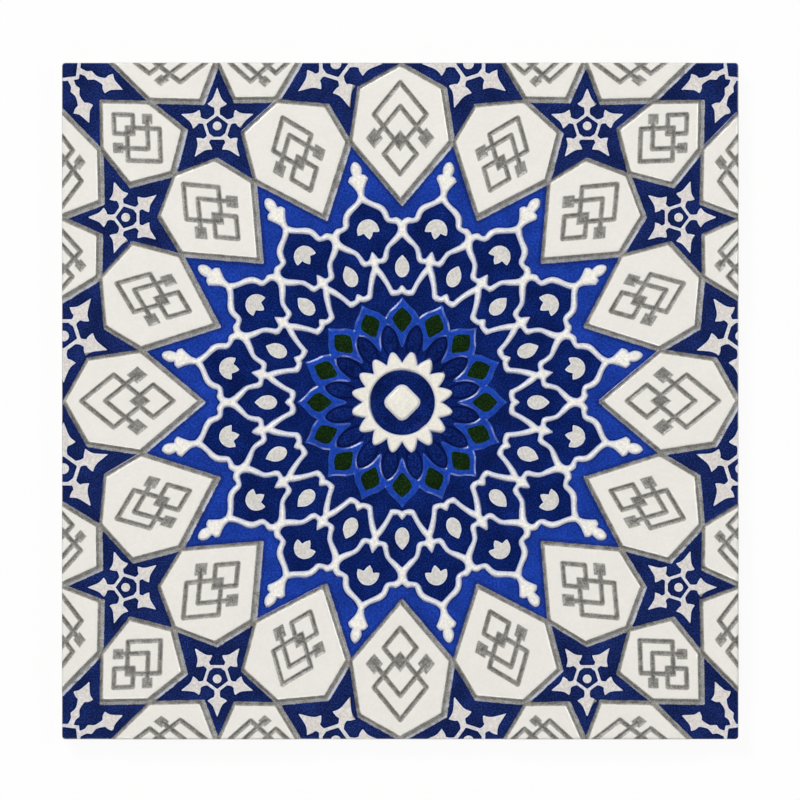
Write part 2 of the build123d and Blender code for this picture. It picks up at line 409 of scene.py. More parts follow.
def chain_distance(across, along, runs, far):
    """Signed distance from a ring that one half outline makes round the rosette.

    The size is the least distance from the outline itself. For the sign it goes on to both
    sides, past every point that folding leaves there, and down to the rosette's middle,
    which is inside.
    """
    chain = half_outline(runs)
    last_across, last_along = chain[-1]
    widened = [(-far, 0.0), (-far, chain[0][1])] + [tuple(point) for point in chain]
    widened += [(far, last_along - 0.2 * (far - last_across)), (far, 0.0)]
    inside = outline_distance(across, along, widened) < 0
    best = np.full(across.shape, NOWHERE_NEAR)
    for start, end in zip(chain[:-1], chain[1:]):
        best = np.minimum(best, segment_distance(across, along, start, end))
    return np.where(inside, -best, best)


def fold_eighth(x, y):
    """The point of the same place in one eighth of a square: 0 <= x <= y."""
    x, y = np.abs(x), np.abs(y)
    return np.minimum(x, y), np.maximum(x, y)


def fold_sector(x, y, count, first_axis=0.0):
    """(across, along) the nearest of a number of equally spaced axes."""
    pitch = 2 * np.pi / count
    angle = np.arctan2(y, x) - np.radians(first_axis)
    off = np.abs((angle + pitch / 2) % pitch - pitch / 2)
    radius = np.hypot(x, y)
    return radius * np.sin(off), radius * np.cos(off)


def soft_step(distance, foot, top):
    """0 outside the foot line and 1 inside the top line, with a smooth S between."""
    t = np.clip((foot - distance) / (foot - top), 0, 1)
    return t * t * (3 - 2 * t)


def side_and_crest(distance, side, crest):
    """0 outside and 1 inside: a steep side that gains a share, and a gentle slope for the rest."""
    share, low, high = crest
    return share * soft_step(distance, *side) + (1 - share) * soft_step(distance, low, high)


def quarter_round(inward, width):
    """0 at an edge and 1 from a width inward, along a quarter circle."""
    t = np.clip(inward / width, 0, 1)
    return np.sqrt(np.clip(1 - (1 - t) ** 2, 0, 1))


def pad_distance(x, y):
    """Signed distance from the nearest pad."""
    u, v = fold_eighth(x, y)
    return np.minimum.reduce([outline_distance(u, v, pad) for pad in PADS])


def knot_distance(x, y, half_width):
    """Signed distance from the engraved lines, and from the filled squares on them."""
    u, v = fold_eighth(x, y)
    lines = np.full(x.shape, NOWHERE_NEAR)
    spots = np.full(x.shape, NOWHERE_NEAR)
    for middle, side_a, side_b, large, corner, loose in KNOTS:
        base, a, b = np.array(middle, float), np.array(side_a), np.array(side_b)
        near = np.hypot(u - base[0], v - base[1]) < KNOT_REACH
        px, py = u[near], v[near]
        if not px.size:
            continue
        small = base + OVERLAP_SHARE * (a + b)
        big = base - OVERLAP_SHARE * (a + b)
        tip = base + corner * (a + b)
        ends = [tip - loose * a, tip - loose * b]
        squares = [
            [small, small - a, small - a - b, small - b, small],
            [big, big + large * a, big + large * (a + b), big + large * b, big],
            [ends[0], tip, ends[1]],
        ]
        best = np.full(px.shape, NOWHERE_NEAR)
        for path in squares:
            for start, end in zip(path[:-1], path[1:]):
                best = np.minimum(best, segment_distance(px, py, start, end))
        lines[near] = np.minimum(lines[near], best - half_width)
        area = a[0] * b[1] - a[1] * b[0]
        for spot in [base] + ends:
            dx, dy = px - spot[0], py - spot[1]
            share_a = np.abs(dx * b[1] - dy * b[0]) / abs(area)
            share_b = np.abs(dx * a[1] - dy * a[0]) / abs(area)
            side = np.hypot(*a)
            reach = (np.maximum(share_a, share_b) - SPOT_SHARE / 2) * side
            spots[near] = np.minimum(spots[near], reach)
    return lines, spots


def star_figure(x, y, middle, axis, scale):
    """Signed distance from a figure of five arrows round a pentagon ring and a dot."""
    dx, dy = (x - middle[0]) / scale, (y - middle[1]) / scale
    arrow = fold_sector(dx, dy, ARROWS, axis)
    arrow = outline_distance(*arrow, half_outline(ARROW), closed=False)
    back_x = dx + PENTAGON_SET_BACK * np.cos(np.radians(axis))
    back_y = dy + PENTAGON_SET_BACK * np.sin(np.radians(axis))
    across, along = fold_sector(back_x, back_y, ARROWS, axis)
    apothem = along * np.cos(np.pi / ARROWS) + across * np.sin(np.pi / ARROWS)
    ring = np.abs(apothem - PENTAGON_APOTHEM) - PENTAGON_HALF_WIDTH
    return np.minimum.reduce([arrow, ring, np.hypot(dx, dy) - DOT_RADIUS]) * scale


def corner_figure(x, y):
    """Signed distance from the figure round the tile's corner: a ring and eight arms."""
    dx, dy = x - CORNER_MIDDLE[0], y - CORNER_MIDDLE[1]
    half_width = CORNER_RING_HALF_WIDTH
    ring = np.abs(outline_distance(dx, dy, CORNER_RING) + half_width) - half_width
    near, far = np.minimum(np.abs(dx), np.abs(dy)), np.maximum(np.abs(dx), np.abs(dy))
    angle = np.radians(CORNER_ARM_AXIS)
    across = np.abs(near * np.cos(angle) - far * np.sin(angle))
    along = far * np.cos(angle) + near * np.sin(angle)
    arm = outline_distance(across, along, half_outline(CORNER_ARM), closed=False)
    return np.minimum(ring, arm)


def figure_distance(x, y):
    """Signed distance from the flat figures between the pads."""
    u, v = fold_eighth(x, y)
    figures = [
        star_figure(u, v, STAR_MIDDLE, STAR_AXIS, 1.0),
        star_figure(u, v, EDGE_STAR_MIDDLE, EDGE_STAR_AXIS, EDGE_STAR_SCALE),
        corner_figure(u, v),
    ]
    return np.minimum.reduce(figures)


def rosette_distances(x, y):
    """Signed distances from the parts of the rosette, by name.

    The plane is folded into one of sixteen like sectors. The even axes carry the inner
    cells and the crown's tips, and the odd axes the outer cells, finials and petals.
    """
    names = ("rosette", "cord", "print", "crown", "green", "petal")
    found = {name: np.full(x.shape, NOWHERE_NEAR) for name in names}
    near = np.hypot(x, y) < ROSETTE_REACH
    even = fold_sector(x[near], y[near], SECTORS)
    odd = fold_sector(x[near], y[near], SECTORS, HALF_SECTOR)
    rosette = chain_distance(*odd, FINIAL, 12)
    inner = outline_distance(*even, half_outline(INNER_CELL), closed=False)
    outer = outline_distance(*odd, half_outline(OUTER_CELL), closed=False)
    arcade = chain_distance(*even, ARCADE, 9)
    almond = outline_distance(*even, half_outline(ALMOND), closed=False)
    tulip = outline_distance(*odd, half_outline(TULIP), closed=False)
    crown_outer = chain_distance(*even, CROWN_OUTER, 6)
    crown = np.maximum(crown_outer, -chain_distance(*even, CROWN_INNER, 6))
    green = outline_distance(*even, half_outline(DIAMOND), closed=False)
    found["rosette"][near] = rosette
    found["cord"][near] = np.maximum.reduce([rosette, -inner, -outer, -arcade])
    found["print"][near] = np.minimum(almond, tulip)
    found["crown"][near] = np.maximum(crown, -green)
    found["green"][near] = green
    found["petal"][near] = outline_distance(*odd, half_outline(PETAL), closed=False)
    return found


def middle_distances(x, y):
    """Signed distances from the sunburst, the sunk ring and the boss in the middle."""
    radius = np.hypot(x, y)
    teeth = chain_distance(*fold_sector(x, y, SECTORS, HALF_SECTOR), TOOTH, 3)
    u = np.abs(x + y) / 2**0.5 - BOSS_STRAIGHT
    v = np.abs(x - y) / 2**0.5 - BOSS_STRAIGHT
    outside = np.hypot(np.maximum(u, 0), np.maximum(v, 0))
    inside = np.minimum(np.maximum(u, v), 0)
    return {
        "sunburst": np.maximum(teeth, RING_RADIUS - radius),
        "ring": radius - RING_RADIUS,
        "boss": outside + inside - BOSS_CORNER,
    }


def face_height(edge, line, spot, shapes, sizes):
    """Height of the face in millimetres: the ground, plus or minus each shape's own rise.

    The edge is the distance inward from the tile's side, and line and spot are those from
    the engraved knots. The knots are cut into the pads alone.
    """
    pad_side = (sizes.pad_foot / MM, -sizes.pad_shoulder / MM)
    pads = side_and_crest(shapes["pad"], pad_side, PAD_CREST)
    groove = np.maximum(
        soft_step(line, *GROOVE_SIDE), SPOT_DEPTH_SHARE * soft_step(spot, *SPOT_SIDE)
    )
    boss = side_and_crest(shapes["boss"], BOSS_SIDE, BOSS_CREST)
    rises = [
        (sizes.pad_rise, pads),
        (-sizes.groove_depth, groove * pads),
        (sizes.cord_rise, side_and_crest(shapes["cord"], CORD_SIDE, CORD_CREST)),
        (sizes.crown_rise, soft_step(shapes["crown"], *CROWN_SIDE)),
        (sizes.diamond_rise, soft_step(shapes["green"], *DIAMOND_SIDE)),
        (sizes.diamond_dome, soft_step(shapes["green"], *DIAMOND_DOME_SIDE)),
        (sizes.petal_rise, soft_step(shapes["petal"], *PETAL_SIDE)),
        (sizes.sunburst_rise, soft_step(shapes["sunburst"], *SUNBURST_SIDE)),
        (-sizes.ring_recess, soft_step(shapes["ring"], *RING_SIDE)),
        (sizes.boss_rise + sizes.ring_recess, boss),
        (FIGURE_RISE * MM, soft_step(shapes["flat"], *FIGURE_SIDE)),
    ]
    ground = (sizes.height - sizes.pad_rise) / MM
    height = ground + sum(rise / MM * shape for rise, shape in rises)
    bevel = np.maximum(sizes.rim_chamfer / MM - edge, 0)
    height = np.minimum(height, sizes.height / MM - bevel)
    return height - EDGE_ROUND_DROP * (1 - quarter_round(edge, EDGE_ROUND_WIDTH))


def face_fields(x, y, sizes):
    """Height of the face in millimetres, and the distances that place the glazes.

    The rosette and every glaze lie off the pads and their knots by the print's shift.
    """
    half_groove = sizes.groove_width / MM / 2
    line, spot = knot_distance(x, y, half_groove)
    # The knots again, moved by the stain shift: they place a painted shade along the upper side of
    # each line and square.
    groove_shade_x, groove_shade_y = (each / MM for each in sizes.groove_shade_shift)
    line_shade_and_gather, spot_shade_and_gather = knot_distance(x - groove_shade_x, y - groove_shade_y, half_groove)
    print_x, print_y = x - sizes.print_shift[0] / MM, y - sizes.print_shift[1] / MM
    figure = figure_distance(print_x, print_y)
    shapes = {"pad": pad_distance(x, y)}
    shapes.update(rosette_distances(print_x, print_y))
    shapes.update(middle_distances(print_x, print_y))
    shapes["flat"] = np.minimum(figure, shapes["print"])
    edge = sizes.side / MM / 2 - np.maximum(np.abs(x), np.abs(y))
    height = face_height(edge, line, spot, shapes, sizes)

    bright = np.minimum(shapes["sunburst"], shapes["boss"])
    in_pad_ring = outline_distance(*fold_eighth(print_x, print_y), PAD_RING) < 0
    fields = {name: shapes[name] for name in ("pad", "cord", "crown", "green", "petal")}
    fields.update({
        "printed": pad_distance(print_x, print_y),
        "knot": np.minimum(line, spot),
        "line_shade_and_gather": line_shade_and_gather,
        "spot_shade_and_gather": spot_shade_and_gather,
        "figure": shapes["flat"],
        "sunburst": bright,
        "white": np.minimum.reduce([shapes["flat"], shapes["cord"], bright]),
        "edge": edge,
        "royal": (in_pad_ring & (shapes["rosette"] > 0)).astype(float),
        "star": (~in_pad_ring).astype(float),
    })
    return height, fields


def sheet_object(name, points, closed=False, flip=False):
    """A mesh object from a grid of points, one quad between each four neighbours.

    With closed, the last column joins the first. With flip, the faces look the other way.
    """
    rows, columns = points.shape[:2]
    index = np.arange(rows * columns).reshape(rows, columns)
    if closed:
        index = np.hstack([index, index[:, :1]])
    corners = [index[:-1, :-1], index[:-1, 1:], index[1:, 1:], index[1:, :-1]]
    quads = np.stack(corners[::-1] if flip else corners, axis=-1).reshape(-1, 4)
    mesh = bpy.data.meshes.new(name)
    mesh.vertices.add(rows * columns)
    mesh.vertices.foreach_set("co", points.reshape(-1).astype(np.float32))
    mesh.loops.add(quads.size)
    mesh.loops.foreach_set("vertex_index", quads.reshape(-1).astype(np.int32))
    mesh.polygons.add(len(quads))
    mesh.polygons.foreach_set("loop_start", np.arange(0, quads.size, 4, dtype=np.int32))
    mesh.update(calc_edges=True)
    mesh.polygons.foreach_set("use_smooth", np.ones(len(quads), bool))
    mesh.validate()
    made = bpy.data.objects.new(name, mesh)
    bpy.context.scene.collection.objects.link(made)
    return made


def keep_field(made, name, values):
    """Stores one number per point of a mesh as an attribute."""
    layer = made.data.attributes.new(name, "FLOAT", "POINT")
    layer.data.foreach_set("value", values.reshape(-1).astype(np.float32))


def declare(made, material):
    """Gives a piece its material and says which part of the tile it stands for."""
    made.data.materials.clear()
    made.data.materials.append(material)
    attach(made, BODY)
    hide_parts(NODE)


def grid_lines(half_side, cells):
    """Where the lines of the face's grid lie, from its middle to its edge and back.

    They are evenly spaced up to the last millimetre or so, and closer at the rim.
    """
    even = np.linspace(0, half_side - RIM_START, cells + 1 - len(RIM_LINES))
    rim = half_side - np.array(RIM_LINES)
    right = np.concatenate([even, rim])
    return np.concatenate([-right[:0:-1], right])


def round_corners(x, y, half_side, radius):
    """Moves the points near the four corners of a square onto a quarter circle.

    Within the corner's own square, lines of equal larger coordinate become arcs.
    """
    u = np.maximum(np.abs(x) - (half_side - radius), 0)
    v = np.maximum(np.abs(y) - (half_side - radius), 0)
    both = (u > 0) & (v > 0)
    shrink = np.where(both, np.maximum(u, v) / np.maximum(np.hypot(u, v), 1e-9), 1)
    new_x = np.where(both, half_side - radius + u * shrink, np.abs(x))
    new_y = np.where(both, half_side - radius + v * shrink, np.abs(y))
    return np.sign(x) * new_x, np.sign(y) * new_y


class Wiring:
    """Adds nodes to one node tree. Any input takes another node's socket or a plain value."""

    def __init__(self, tree):
        self.tree = tree

    def node(self, kind, inputs=None, **settings):
        """A new node, with its inputs fed by name or number."""
        made = self.tree.nodes.new(kind)
        made.location = (len(self.tree.nodes) % 12 * 190, -(len(self.tree.nodes) // 12) * 260)
        for name, value in settings.items():
            setattr(made, name, value)
        for socket, value in (inputs or {}).items():
            self.feed(made.inputs[socket], value)
        return made

    def feed(self, socket, value):
        """Links a socket to an input, or writes a plain value into it."""
        if isinstance(value, bpy.types.NodeSocket):
            self.tree.links.new(value, socket)
        elif socket.type == "RGBA" and len(value) == 3:
            socket.default_value = (*value, 1.0)
        else:
            socket.default_value = value

    def math(self, operation, first, second=0.0, third=0.0):
        made = self.node("ShaderNodeMath", {0: first, 1: second, 2: third}, operation=operation)
        return made.outputs[0]

    def band(self, value, start, end, low=0.0, high=1.0):
        """Goes smoothly from low to high while the value goes from start to end."""
        inputs = {"Value": value, "From Min": start, "From Max": end, "To Min": low, "To Max": high}
        made = self.node("ShaderNodeMapRange", inputs, interpolation_type="SMOOTHSTEP")
        return made.outputs["Result"]

    def times(self, first, second):
        return self.math("MULTIPLY", first, second)

    def larger(self, first, second):
        return self.math("MAXIMUM", first, second)

    def rest(self, share):
        """What a share leaves of one."""
        return self.math("SUBTRACT", 1.0, share)

    def mix(self, share, under, over):
        """One colour over another."""
        made = self.node("ShaderNodeMix", data_type="RGBA")
        self.feed(made.inputs[0], share)
        self.feed(made.inputs[6], under)
        self.feed(made.inputs[7], over)
        return made.outputs[2]

    def noise(self, position, scale, detail=2.0, roughness=0.5):
        """Cloudy noise; the scale is in waves per millimetre."""
        inputs = {"Vector": position, "Scale": scale, "Detail": detail, "Roughness": roughness}
        return self.node("ShaderNodeTexNoise", inputs).outputs[0]

    def group(self, tree, **inputs):
        """A shared group's own output, with its named inputs fed."""
        made = self.node("ShaderNodeGroup", node_tree=tree)
        for name, value in inputs.items():
            self.feed(made.inputs[name.replace("_", " ")], value)
        return made.outputs[0]

    def field(self, name):
        """One number kept in the mesh."""
        return self.node("ShaderNodeAttribute", attribute_name=name).outputs["Fac"]

    def position(self):
        """The place on the object, in millimetres."""
        where = self.node("ShaderNodeTexCoord").outputs["Object"]
        scale = (1 / MM, 1 / MM, 1 / MM)
        return self.node("ShaderNodeMapping", {"Vector": where, "Scale": scale}).outputs[0]


def new_group(name, inputs, output, output_type):
    """An empty node group; inputs are (name, type, default)."""
    tree = bpy.data.node_groups.new(name, "ShaderNodeTree")
    for label, kind, default in inputs:
        socket = tree.interface.new_socket(label, in_out="INPUT", socket_type=kind)
        if default is not None:
            socket.default_value = default
    tree.interface.new_socket(output, in_out="OUTPUT", socket_type=output_type)
    wiring = Wiring(tree)
    entry = wiring.node("NodeGroupInput")
    leave = wiring.node("NodeGroupOutput")
    return tree, wiring, entry.outputs, leave.inputs[output]


def glaze_edge_group():
    """Where a glaze lies: 1 inside a distance, 0 outside it, along a wandering edge."""
    inputs = [
        ("Distance", "NodeSocketFloat", 0.0), ("Edge", "NodeSocketFloat", 0.0),
        ("Softness", "NodeSocketFloat", 0.08), ("Wander", "NodeSocketFloat", 0.12),
        ("Position", "NodeSocketVector", None),
    ]
    tree, wiring, entry, leave = new_group("Glaze edge", inputs, "Mask", "NodeSocketFloat")
    noise = wiring.noise(entry["Position"], 0.9, 3.0, 0.6)
    drift = wiring.times(wiring.math("SUBTRACT", noise, 0.5), entry["Wander"])
    distance = wiring.math("ADD", wiring.math("SUBTRACT", entry["Distance"], entry["Edge"]), drift)
    outer = entry["Softness"]
    inner = wiring.times(outer, -1.0)
    wiring.feed(leave, wiring.band(distance, outer, inner))
    return tree


def mottle_group():
    """A colour made lighter and darker by slow clouds and by fine specks."""
    inputs = [
        ("Colour", "NodeSocketColor", None), ("Position", "NodeSocketVector", None),
        ("Clouds", "NodeSocketFloat", 0.1), ("Specks", "NodeSocketFloat", 0.1),
        ("Speck size", "NodeSocketFloat", 0.7),
    ]
    tree, wiring, entry, leave = new_group("Mottle", inputs, "Colour", "NodeSocketColor")
    slow = wiring.math("SUBTRACT", wiring.noise(entry["Position"], 0.13, 4.0, 0.55), 0.5)
    scale = wiring.math("DIVIDE", 1.0, entry["Speck size"])
    fine = wiring.math("SUBTRACT", wiring.noise(entry["Position"], scale, 3.0, 0.7), 0.5)
    cloud = wiring.times(slow, entry["Clouds"])
    speck = wiring.times(fine, entry["Specks"])
    gain = wiring.math("EXPONENT", wiring.math("ADD", cloud, speck))
    scaled = wiring.node("ShaderNodeVectorMath", {0: entry["Colour"]}, operation="SCALE")
    wiring.feed(scaled.inputs["Scale"], gain)
    wiring.feed(leave, scaled.outputs[0])
    return tree


def rubbed_group():
    """How much of a stain is left where it was wiped: fine streaks and worn specks."""
    inputs = [
        ("Mask", "NodeSocketFloat", 0.0), ("Position", "NodeSocketVector", None),
        ("Wear", "NodeSocketFloat", 0.5),
    ]
    tree, wiring, entry, leave = new_group("Rubbed", inputs, "Mask", "NodeSocketFloat")
    fine = wiring.noise(entry["Position"], 2.6, 3.0, 0.75)
    slow = wiring.noise(entry["Position"], 0.5, 2.0, 0.5)
    mixed = wiring.math("MULTIPLY_ADD", slow, 0.4, wiring.times(fine, 0.6))
    kept = wiring.band(mixed, 0.36, 0.6)
    worn = wiring.times(wiring.rest(kept), entry["Wear"])
    left = wiring.rest(worn)
    wiring.feed(leave, wiring.times(entry["Mask"], left))
    return tree


def skin_group():
    """The normal of a fired surface: slow waves of its glaze and fine pits of its clay."""
    inputs = [
        ("Position", "NodeSocketVector", None), ("Waves", "NodeSocketFloat", 0.02),
        ("Pits", "NodeSocketFloat", 0.01), ("Pit size", "NodeSocketFloat", 0.5),
    ]
    tree, wiring, entry, leave = new_group("Fired skin", inputs, "Normal", "NodeSocketVector")
    waves = wiring.times(wiring.noise(entry["Position"], 0.35, 2.0, 0.4), entry["Waves"])
    scale = wiring.math("DIVIDE", 1.0, entry["Pit size"])
    pits = wiring.times(wiring.noise(entry["Position"], scale, 3.0, 0.6), entry["Pits"])
    height = wiring.math("ADD", waves, pits)
    bump = wiring.node("ShaderNodeBump", {"Strength": 1.0, "Distance": MM, "Height": height})
    wiring.feed(leave, bump.outputs[0])
    return tree


def new_material(name, kind=Wiring):
    """An empty material, the wiring of its nodes, and its output, ready for a shader."""
    material = bpy.data.materials.new(name)
    material.use_nodes = True
    material.node_tree.nodes.clear()
    wiring = kind(material.node_tree)
    return material, wiring, wiring.node("ShaderNodeOutputMaterial")


def shared_groups():
    """The node groups that the materials share, each built once."""
    makers = {
        "Glaze edge": glaze_edge_group, "Mottle": mottle_group,
        "Rubbed": rubbed_group, "Fired skin": skin_group,
    }
    return {name: bpy.data.node_groups.get(name) or make() for name, make in makers.items()}


class GlazeWiring(Wiring):
    """Wiring of a glazed surface: the shared groups, fed with the place on the object."""

    def __init__(self, tree):
        super().__init__(tree)
        self.groups = shared_groups()
        self.place = self.position()

    def lies(self, field, edge=0.0, softness=0.07, wander=0.16):
        """1 where the field is less than the edge, which wanders a little."""
        values = {"Distance": field, "Edge": edge, "Softness": softness, "Wander": wander}
        return self.group(self.groups["Glaze edge"], Position=self.place, **values)

    def mottled(self, plain, clouds, specks, size=0.7):
        """A colour with clouds and specks of these strengths; the size is in millimetres."""
        values = {"Clouds": clouds, "Specks": specks, "Speck_size": size}
        return self.group(self.groups["Mottle"], Colour=plain, Position=self.place, **values)

    def rubbed(self, mask, wear):
        """A stain's mask with some of it worn away."""
        return self.group(self.groups["Rubbed"], Mask=mask, Position=self.place, Wear=wear)

    def skin(self, waves, pits, size):
        """The surface's normal, with waves and pits of these heights in millimetres."""
        values = {"Waves": waves, "Pits": pits, "Pit_size": size}
        return self.group(self.groups["Fired skin"], Position=self.place, **values)


def white_glazes(wiring, colours):
    """The white ground, warm on the pads, and the cords, figures and sunburst on it.

    Each is cool or bluish at its edge, where the blue has run into it, and warmer inside.
    """
    cord, figure, sunburst = (wiring.field(name) for name in ("cord", "figure", "sunburst"))
    ground = wiring.mottled(colours.white, 0.08, 0.15, 0.9)
    ground = wiring.mix(wiring.band(wiring.field("pad"), -0.2, 0.5), ground, colours.cool_white)
    cord_edge = wiring.mix(wiring.band(cord, 0.0, -0.3), colours.bluish, colours.cool_white)
    cord_colour = wiring.mix(wiring.band(cord, -0.3, -0.9), cord_edge, colours.cream)
    ground = wiring.mix(wiring.lies(cord, 0.3), ground, wiring.mottled(cord_colour, 0.1, 0.9))
    thin = wiring.mix(wiring.field("star"), colours.cell_print, colours.figure)
    thin = wiring.mix(wiring.band(figure, -0.1, -0.45), colours.cool_white, thin)
    ground = wiring.mix(wiring.lies(figure, 0.3), ground, wiring.mottled(thin, 0.1, 1.0))
    bright = wiring.mix(wiring.band(sunburst, 0.0, -0.25), colours.bluish, colours.cool_white)
    bright = wiring.mix(wiring.band(sunburst, -0.15, -0.45), bright, colours.ivory)
    return wiring.mix(wiring.lies(sunburst, 0.3), ground, wiring.mottled(bright, 0.05, 0.5))


def grey_stain(wiring, colours):
    """(where it lies, its colour) for the stain in the knots and on the pads' edges.

    It is darker with painted shade where the blue laps onto a pad and along the upper side of each
    line of a knot, darker where the stain has gathered in a knot, and worn off in patches beside
    the edges that the blue was laid away from. The lee is how much nearer a place is to the printed
    pad than to the moulded one.
    """
    pad = wiring.field("pad")
    lee = wiring.math("SUBTRACT", pad, wiring.field("printed"))
    inner_line = wiring.band(lee, 0.2, -0.4, 0.92, 1.12)
    inner = wiring.lies(wiring.times(pad, -1.0), inner_line, 0.16, 0.3)
    band = wiring.times(wiring.band(pad, 1.6, 1.2), inner)
    patchy = wiring.band(wiring.noise(wiring.place, 0.32, 4.0, 0.6), 0.42, 0.5)
    bare = wiring.times(patchy, wiring.band(pad, 0.3, 0.6, 0.0, 0.7))
    bare = wiring.times(bare, wiring.band(lee, 0.48, 0.72))
    edge_stain = wiring.rubbed(wiring.times(band, wiring.rest(bare)), 0.35)
    knot = wiring.lies(wiring.field("knot"), 0.24, 0.2, 0.25)
    stained = wiring.larger(edge_stain, wiring.rubbed(knot, 0.25))

    # Painted shade: the stain darkens on the pads' edges that the blue laps onto.
    lap_shade = wiring.times(wiring.band(lee, 0.3, -0.35), wiring.band(pad, -0.95, -0.35))
    # Painted shade along the upper side of each groove, over a little stain gathered in the whole
    # knot.
    line_shade_and_gather = wiring.band(wiring.field("line_shade_and_gather"), 0.0, -0.28)
    line_shade_and_gather = wiring.larger(wiring.times(knot, 0.2), line_shade_and_gather)
    # Filled squares: stain gathered in them, moved by the stain shift so that it also paints shade
    # on their upper side.
    spot_shade_and_gather = wiring.times(wiring.band(wiring.field("spot_shade_and_gather"), 0.0, -0.9), 0.6)
    dark = wiring.larger(lap_shade, wiring.larger(line_shade_and_gather, spot_shade_and_gather))
    # The dark stain colour here is both gathered stain and painted shade.
    grey = wiring.mix(dark, colours.stain, colours.stain_gathered_and_shade)
    return stained, wiring.mottled(grey, 0.5, 5.0, 0.4)


def blue_glazes(wiring, colours):
    """Navy, royal blue, the crown and its green, with pooled glaze and painted shade at raised
    edges, painted shade next to the pads and a painted sheen along the crown's edges.
    """
    star, crown, petal = (wiring.field(name) for name in ("star", "crown", "petal"))
    # Painted shade: the royal blue darkens towards the star navy next to the raised pads.
    shade_near_pads = wiring.band(wiring.field("printed"), 1.8, 0.9)
    royal = wiring.mix(wiring.times(shade_near_pads, 0.5), colours.royal, colours.star_navy)
    royal = wiring.mottled(royal, 1.2, 2.8, 0.6)
    navy = wiring.mix(star, colours.navy, colours.star_navy)
    blue = wiring.mix(wiring.field("royal"), wiring.mottled(navy, 1.8, 5.8, 0.45), royal)
    # Painted sheen: the crown blue lightens along the ridge's edges.
    ridge = wiring.mix(wiring.band(crown, -0.25, -0.05), colours.crown, colours.crown_edge_sheen)
    blue = wiring.mix(wiring.lies(crown, 0.0, 0.1), blue, wiring.mottled(ridge, 0.5, 2.6))
    green = wiring.mottled(colours.green, 1.5, 5.2, 0.45)
    blue = wiring.mix(wiring.lies(wiring.field("green"), 0.0, 0.1), blue, green)
    # Painted shade: a dark line round each petal, in place of the shade of its raised edge.
    petal_outline_shade = wiring.times(wiring.band(petal, 0.5, 0.1), wiring.band(petal, -0.6, -0.1))
    pooled_and_shade = wiring.larger(wiring.band(wiring.field("white"), 0.5, 0.1), petal_outline_shade)
    return wiring.mix(wiring.times(pooled_and_shade, 0.75), blue, colours.pooled_and_shade)


def face_material(colours):
    """White glazes under the grey stain, and the blue and green ones over both.

    The glaze is thin along the tile's rim, and a grey line there paints the shade of its rounded
    edge. The stain is rougher than the glazes, and the crown is a little rougher than the rest.
    """
    material, wiring, output = new_material("glazed face", GlazeWiring)
    stained, grey = grey_stain(wiring, colours)
    ground = wiring.mix(wiring.times(stained, 0.96), white_glazes(wiring, colours), grey)
    figures = wiring.lies(wiring.field("white"), -0.02, 0.05, 0.12)
    pads = wiring.lies(wiring.field("printed"), 0.47, 0.09, 0.5)
    kept_white = wiring.larger(figures, pads)
    colour_out = wiring.mix(wiring.rest(kept_white), ground, blue_glazes(wiring, colours))
    # A grey line along the rim: thin glaze with painted shade of the rounded edge.
    rim = wiring.lies(wiring.field("edge"), 0.14, 0.1, 0.15)
    colour_out = wiring.mix(wiring.times(rim, 0.6), colour_out, colours.rim)

    roughness = wiring.band(wiring.times(stained, kept_white), 0.0, 1.0, 0.08, 0.38)
    on_crown = wiring.band(wiring.field("crown"), 0.15, -0.05, 0.0, 0.2)
    roughness = wiring.math("ADD", roughness, on_crown)
    roughness = wiring.math("MULTIPLY_ADD", wiring.noise(wiring.place, 0.8), 0.06, roughness)
    shader = wiring.node("ShaderNodeBsdfPrincipled", {
        "Base Color": colour_out, "Roughness": roughness, "Normal": wiring.skin(0.06, 0.02, 0.5),
        "IOR": 1.5, "Coat Weight": 0.15, "Coat Roughness": 0.06,
    })
    wiring.feed(output.inputs["Surface"], shader.outputs[0])
    return material


def clay_material(colours, sizes):
    """Bare fired clay, with the face's white glaze run a little way down the sides.

    The run ends at a level below the ground that slow noise moves up and down.
    """
    material, wiring, output = new_material("fired clay", GlazeWiring)
    height = wiring.node("ShaderNodeSeparateXYZ", {0: wiring.place}).outputs[2]
    run = wiring.math("MULTIPLY_ADD", wiring.noise(wiring.place, 0.22, 3.0), -2.4, height)
    ground = (sizes.height - sizes.pad_rise) / MM
    glazed = wiring.band(run, ground - 2.45, ground - 2.1)
    bare = wiring.mottled(colours.clay, 0.25, 0.3, 0.5)
    shader = wiring.node("ShaderNodeBsdfPrincipled", {
        "Base Color": wiring.mix(glazed, bare, colours.cool_white),
        "Roughness": wiring.band(glazed, 0.0, 1.0, 0.82, 0.2),
        "Normal": wiring.skin(0.08, 0.12, 0.45),
    })
    wiring.feed(output.inputs["Surface"], shader.outputs[0])
    return material


class STARTILE_OT_face(bpy.types.Operator):
    """Make the glazed face as four quarters of one height field"""

    bl_idname = "startile.face"
    bl_label = "Glazed face"

    def execute(self, context):
        sizes, colours = context.scene.star_tile_sizes, context.scene.star_tile_colours
        half_side = sizes.side / MM / 2
        lines = grid_lines(half_side, sizes.cells)
        x, y = np.meshgrid(lines, lines)
        height, fields = face_fields(x, y, sizes)
        slope_y, slope_x = np.gradient(height, lines, lines)
        normals = np.stack([-slope_x, -slope_y, np.ones_like(height)], axis=-1)
        normals /= np.linalg.norm(normals, axis=-1, keepdims=True)
        x, y = round_corners(x, y, half_side, sizes.corner_radius / MM)
        points = np.stack([x, y, height], axis=-1) * MM
        material = face_material(colours)
        half = sizes.cells
        parts = {"south": slice(0, half + 1), "north": slice(half, None)}
        sides = {"west": slice(0, half + 1), "east": slice(half, None)}
        for row_name, rows in parts.items():
            for column_name, columns in sides.items():
                quarter = sheet_object(f"face_{row_name}_{column_name}", points[rows, columns])
                own = normals[rows, columns].reshape(-1, 3)
                quarter.data.normals_split_custom_set_from_vertices(own)
                for name, values in fields.items():
                    keep_field(quarter, name, values[rows, columns])
                declare(quarter, material)
        return {"FINISHED"}


